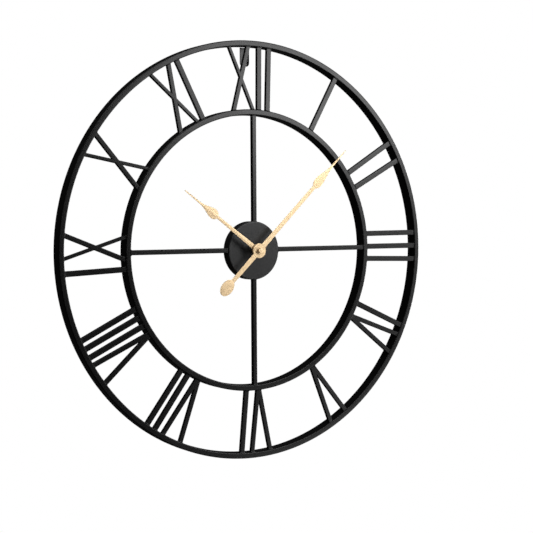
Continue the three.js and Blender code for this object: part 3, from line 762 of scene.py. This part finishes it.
def cover_relief():
    """The cover's moulded marks: a plain field, ribs, the battery's poles and the knob's two ways."""
    low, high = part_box("setting_knob")
    knob_x, knob_z = ((low.x + high.x) / 2 - CENTRE.x) / MM, ((low.z + high.z) / 2 - CENTRE.z) / MM
    foot = depths("rear_cover")[0]
    pole_height, reach, half = -8, 2, 0.45
    marks = [raised_bar(-7, 14, 34, 18)]
    marks += [raised_bar(x, 24.6, 1.2, 1.8) for x in range(-22, 10, 4)]
    marks += [raised_bar(-22, pole_height, 2 * reach, 2 * half)]
    marks += [plus_sign(5, pole_height, reach, half)]
    marks += [turning_arrow(knob_x, knob_z, 8.6, 120, 215)]
    return [raised(mark, foot) for mark in marks]


# The radius of each node's softened edges.
SOFTENED = {
    "hanger_tab": 0.35, "bushing_nut": 0.3, "washer": 0.1, "rubber_gasket": 0.2, "threaded_bushing": 0.15,
    "movement_case": 0.35, "rear_cover": 0.3, "setting_knob": 0.2, "hour_wheel": 0.05,
    "minute_arbor": 0.05, "motion_wheel": 0.05, "centre_wheel": 0.05, "third_wheel": 0.05,
    "seconds_wheel": 0.05, "intermediate_wheel": 0.05, "rotor": 0.05, "stator": 0.06, "coil": 0.15,
    "circuit_board": 0.1, "quartz_crystal": 0.25, "battery": 0.25, "contact_positive": 0.06,
    "contact_negative": 0.06,
}


def small_parts():
    """The hanger tab and the movement's parts."""
    slots = {p["node"]: p["material_slot"] for p in frame["record"]["subparts"]}
    for node, radius in SOFTENED.items():
        slot = slots[node]
        mesh = softened(node, radius)
        if node == "rear_cover":
            mesh = joined(mesh, *cover_relief())
        piece(node + "_part", mesh, MATERIAL_OF_SLOT[slot],
              NODES[node]["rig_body"], [node])


# ---------------------------------------------------------------------------------------------
# Floor, light and camera
# ---------------------------------------------------------------------------------------------


def floor():
    """A pale floor well below the clock, which neither lights it nor shows in its gloss."""
    half, below = 3.2, 1.9
    corners = [(-half, -half), (half, -half), (half, half), (-half, half)]
    mesh = mesh_of([(CENTRE.x + x, y, CENTRE.z - below) for x, y in corners], [(0, 1, 2, 3)])
    mesh.materials.append(floor_paint())
    made = bpy.data.objects.new("floor", mesh)
    bpy.context.scene.collection.objects.link(made)
    made.visible_diffuse = made.visible_glossy = False


# Each softbox: its place in metres from the dial's centre, its side in metres and its power in watts.
SOFTBOXES = {
    "key": ((0.92, -1.31, 0.58), 0.8, 14),
    "right": ((2.68, -1.25, -0.52), 1.3, 23),
    "low": ((1.92, -1.92, -1.27), 1.3, 11.5),
    "fill": ((2.09, -2.09, 0.52), 1.3, 7.5),
    "left": ((-0.68, -1.46, 1.91), 1.3, 16),
    "back": ((2.35, 0.86, 0), 1.3, 50),
}


def softbox(name, place, side, power):
    """A square area light that faces the dial's centre."""
    data = bpy.data.lights.new(name, "AREA")
    data.shape = "RECTANGLE"
    data.size = data.size_y = side
    data.energy = power
    made = bpy.data.objects.new(name, data)
    made.location = CENTRE + Vector(place)
    made.rotation_euler = Vector(place).to_track_quat("Z", "Y").to_euler()
    bpy.context.scene.collection.objects.link(made)


def studio():
    """A white room seen behind the clock, and softboxes that light it."""
    world = bpy.data.worlds.new("studio")
    bpy.context.scene.world = world
    world.use_nodes = True
    nodes, links = world.node_tree.nodes, world.node_tree.links
    dim = nodes["Background"]
    dim.inputs["Color"].default_value = (1, 1, 1, 1)
    dim.inputs["Strength"].default_value = 0.018
    white = nodes.new("ShaderNodeBackground")
    white.inputs["Strength"].default_value = 1.0
    white.inputs["Color"].default_value = (1, 1, 1, 1)
    mix, path = nodes.new("ShaderNodeMixShader"), nodes.new("ShaderNodeLightPath")
    links.new(path.outputs["Is Camera Ray"], mix.inputs["Fac"])
    links.new(dim.outputs["Background"], mix.inputs[1])
    links.new(white.outputs["Background"], mix.inputs[2])
    links.new(mix.outputs["Shader"], nodes["World Output"].inputs["Surface"])
    bpy.context.scene.view_settings.view_transform = "Standard"

    for name, (place, side, power) in SOFTBOXES.items():
        softbox(name, place, side, power)


# The camera's direction and roll in degrees, its distance in metres from the dial's middle, how far it
# aims to the right of and above that middle, and its focal length in millimetres.
CAMERA = {
    "azimuth": -31.55, "elevation": 2.32, "roll": -0.36, "distance": 2.5178,
    "aim_right": 0.0309, "aim_up": -0.0310, "focal": 88.37,
}


def camera():
    azimuth, elevation, roll = (math.radians(CAMERA[k]) for k in ("azimuth", "elevation", "roll"))
    back = Vector((
        math.sin(azimuth) * math.cos(elevation),
        -math.cos(azimuth) * math.cos(elevation),
        math.sin(elevation),
    ))
    level = Vector((math.cos(azimuth), math.sin(azimuth), 0))
    upright = back.cross(level)
    right = level * math.cos(roll) + upright * math.sin(roll)
    up = upright * math.cos(roll) - level * math.sin(roll)
    middle = CENTRE + Vector((0, -HOOP_DEPTH / 2 * MM, 0))
    aim = middle + right * CAMERA["aim_right"] + up * CAMERA["aim_up"]
    data = bpy.data.cameras.new("camera")
    data.sensor_width, data.lens = 36.0, CAMERA["focal"]
    made = bpy.data.objects.new("camera", data)
    turn = Matrix((right, up, back)).transposed().to_4x4()
    made.matrix_world = Matrix.Translation(aim + back * CAMERA["distance"]) @ turn
    bpy.context.scene.collection.objects.link(made)
    bpy.context.scene.camera = made


hoop("outer_hoop", OUTER_INSIDE, OUTER_RADIUS)
hoop("inner_hoop", INNER_INSIDE, INNER_RADIUS)
spokes()
numerals()
drum_cup()
hands()
cap_nut()
small_parts()
floor()
studio()
camera()
